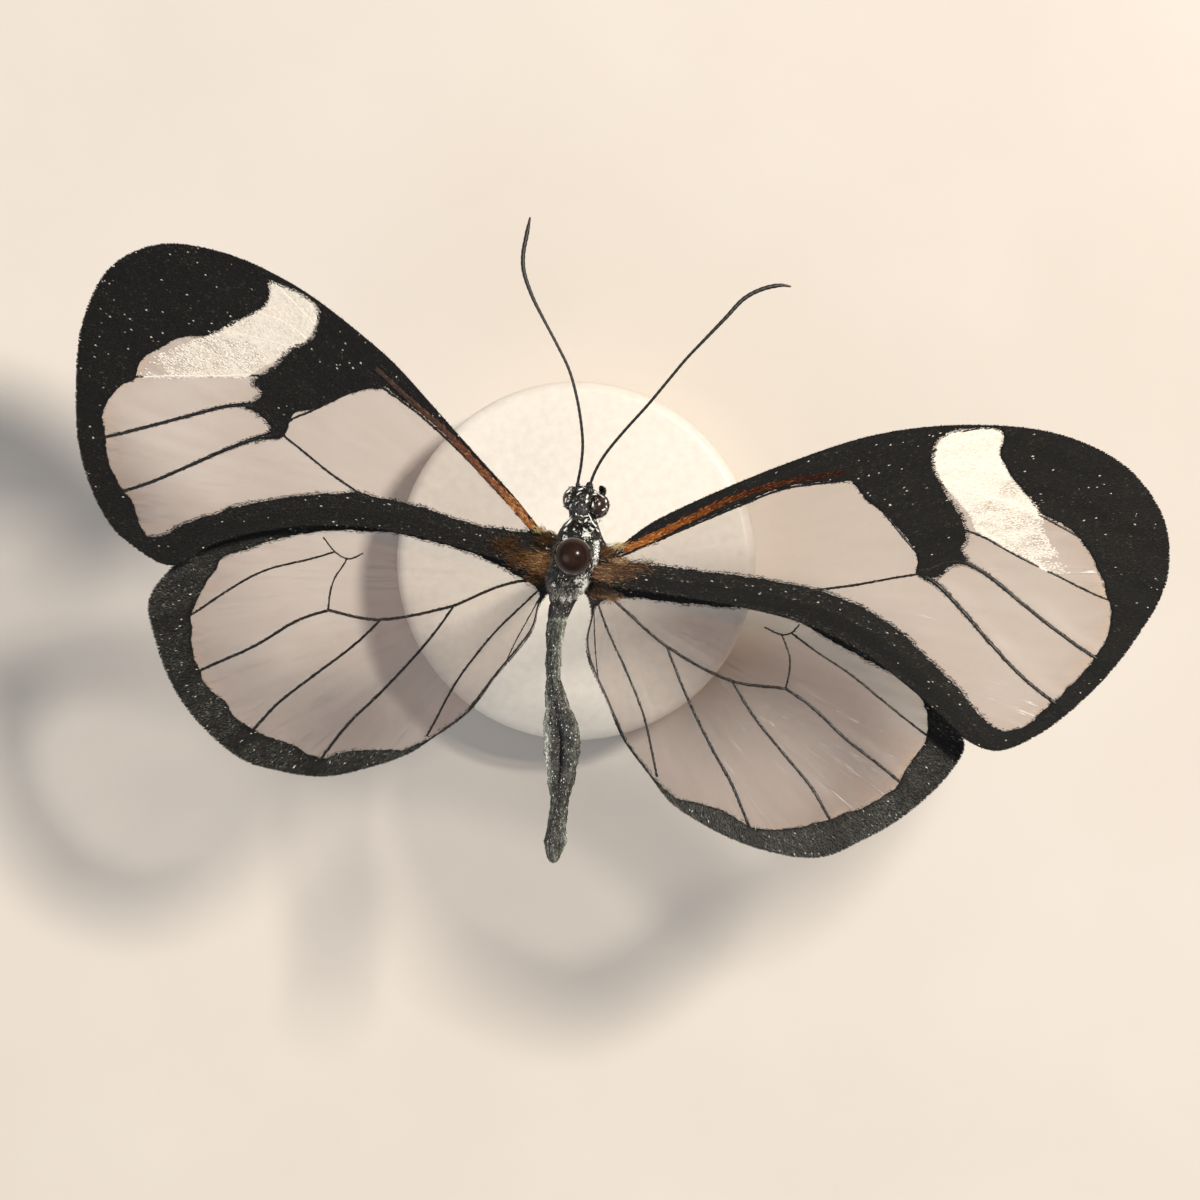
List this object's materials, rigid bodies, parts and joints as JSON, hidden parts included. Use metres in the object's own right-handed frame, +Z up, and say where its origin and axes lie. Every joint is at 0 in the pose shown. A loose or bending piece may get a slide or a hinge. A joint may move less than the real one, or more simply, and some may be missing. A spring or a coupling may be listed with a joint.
{
  "type": "glasswing butterfly specimen",
  "caption": "Life-size still model of a dried glasswing butterfly, wings spread, on its insect pin and a plain round base.",
  "frame": {"origin": "middle of the base's underside, on the pin's axis", "axes": "+Z up along the pin, +Y the way the head points, +X towards the butterfly's right wings"},
  "size_m": [0.0574, 0.0338, 0.0404],
  "materials": {
    "body": "dark dry cuticle with grey and white scales",
    "wing": "clear brownish membrane with black scaled borders and veins",
    "eye": "dark, glossy",
    "steel": "drawn wire",
    "bead": "glossy dark brown",
    "stand": "matte off-white"
  },
  "bodies": {
    "root": {"stand_base": "stand", "pin_shaft": "steel", "pin_head": "bead", "head": "body", "eye_left": "eye", "eye_right": "eye", "palp_left": "body", "palp_right": "body", "proboscis": "body", "antenna_left": "body", "antenna_right": "body", "thorax": "body", "abdomen": "body", "forewing_left": "wing", "forewing_right": "wing", "hindwing_left": "wing", "hindwing_right": "wing", "leg_fore_left": "body", "leg_fore_right": "body", "leg_mid_left": "body", "leg_mid_right": "body", "leg_hind_left": "body", "leg_hind_right": "body"}
  },
  "joints": []
}
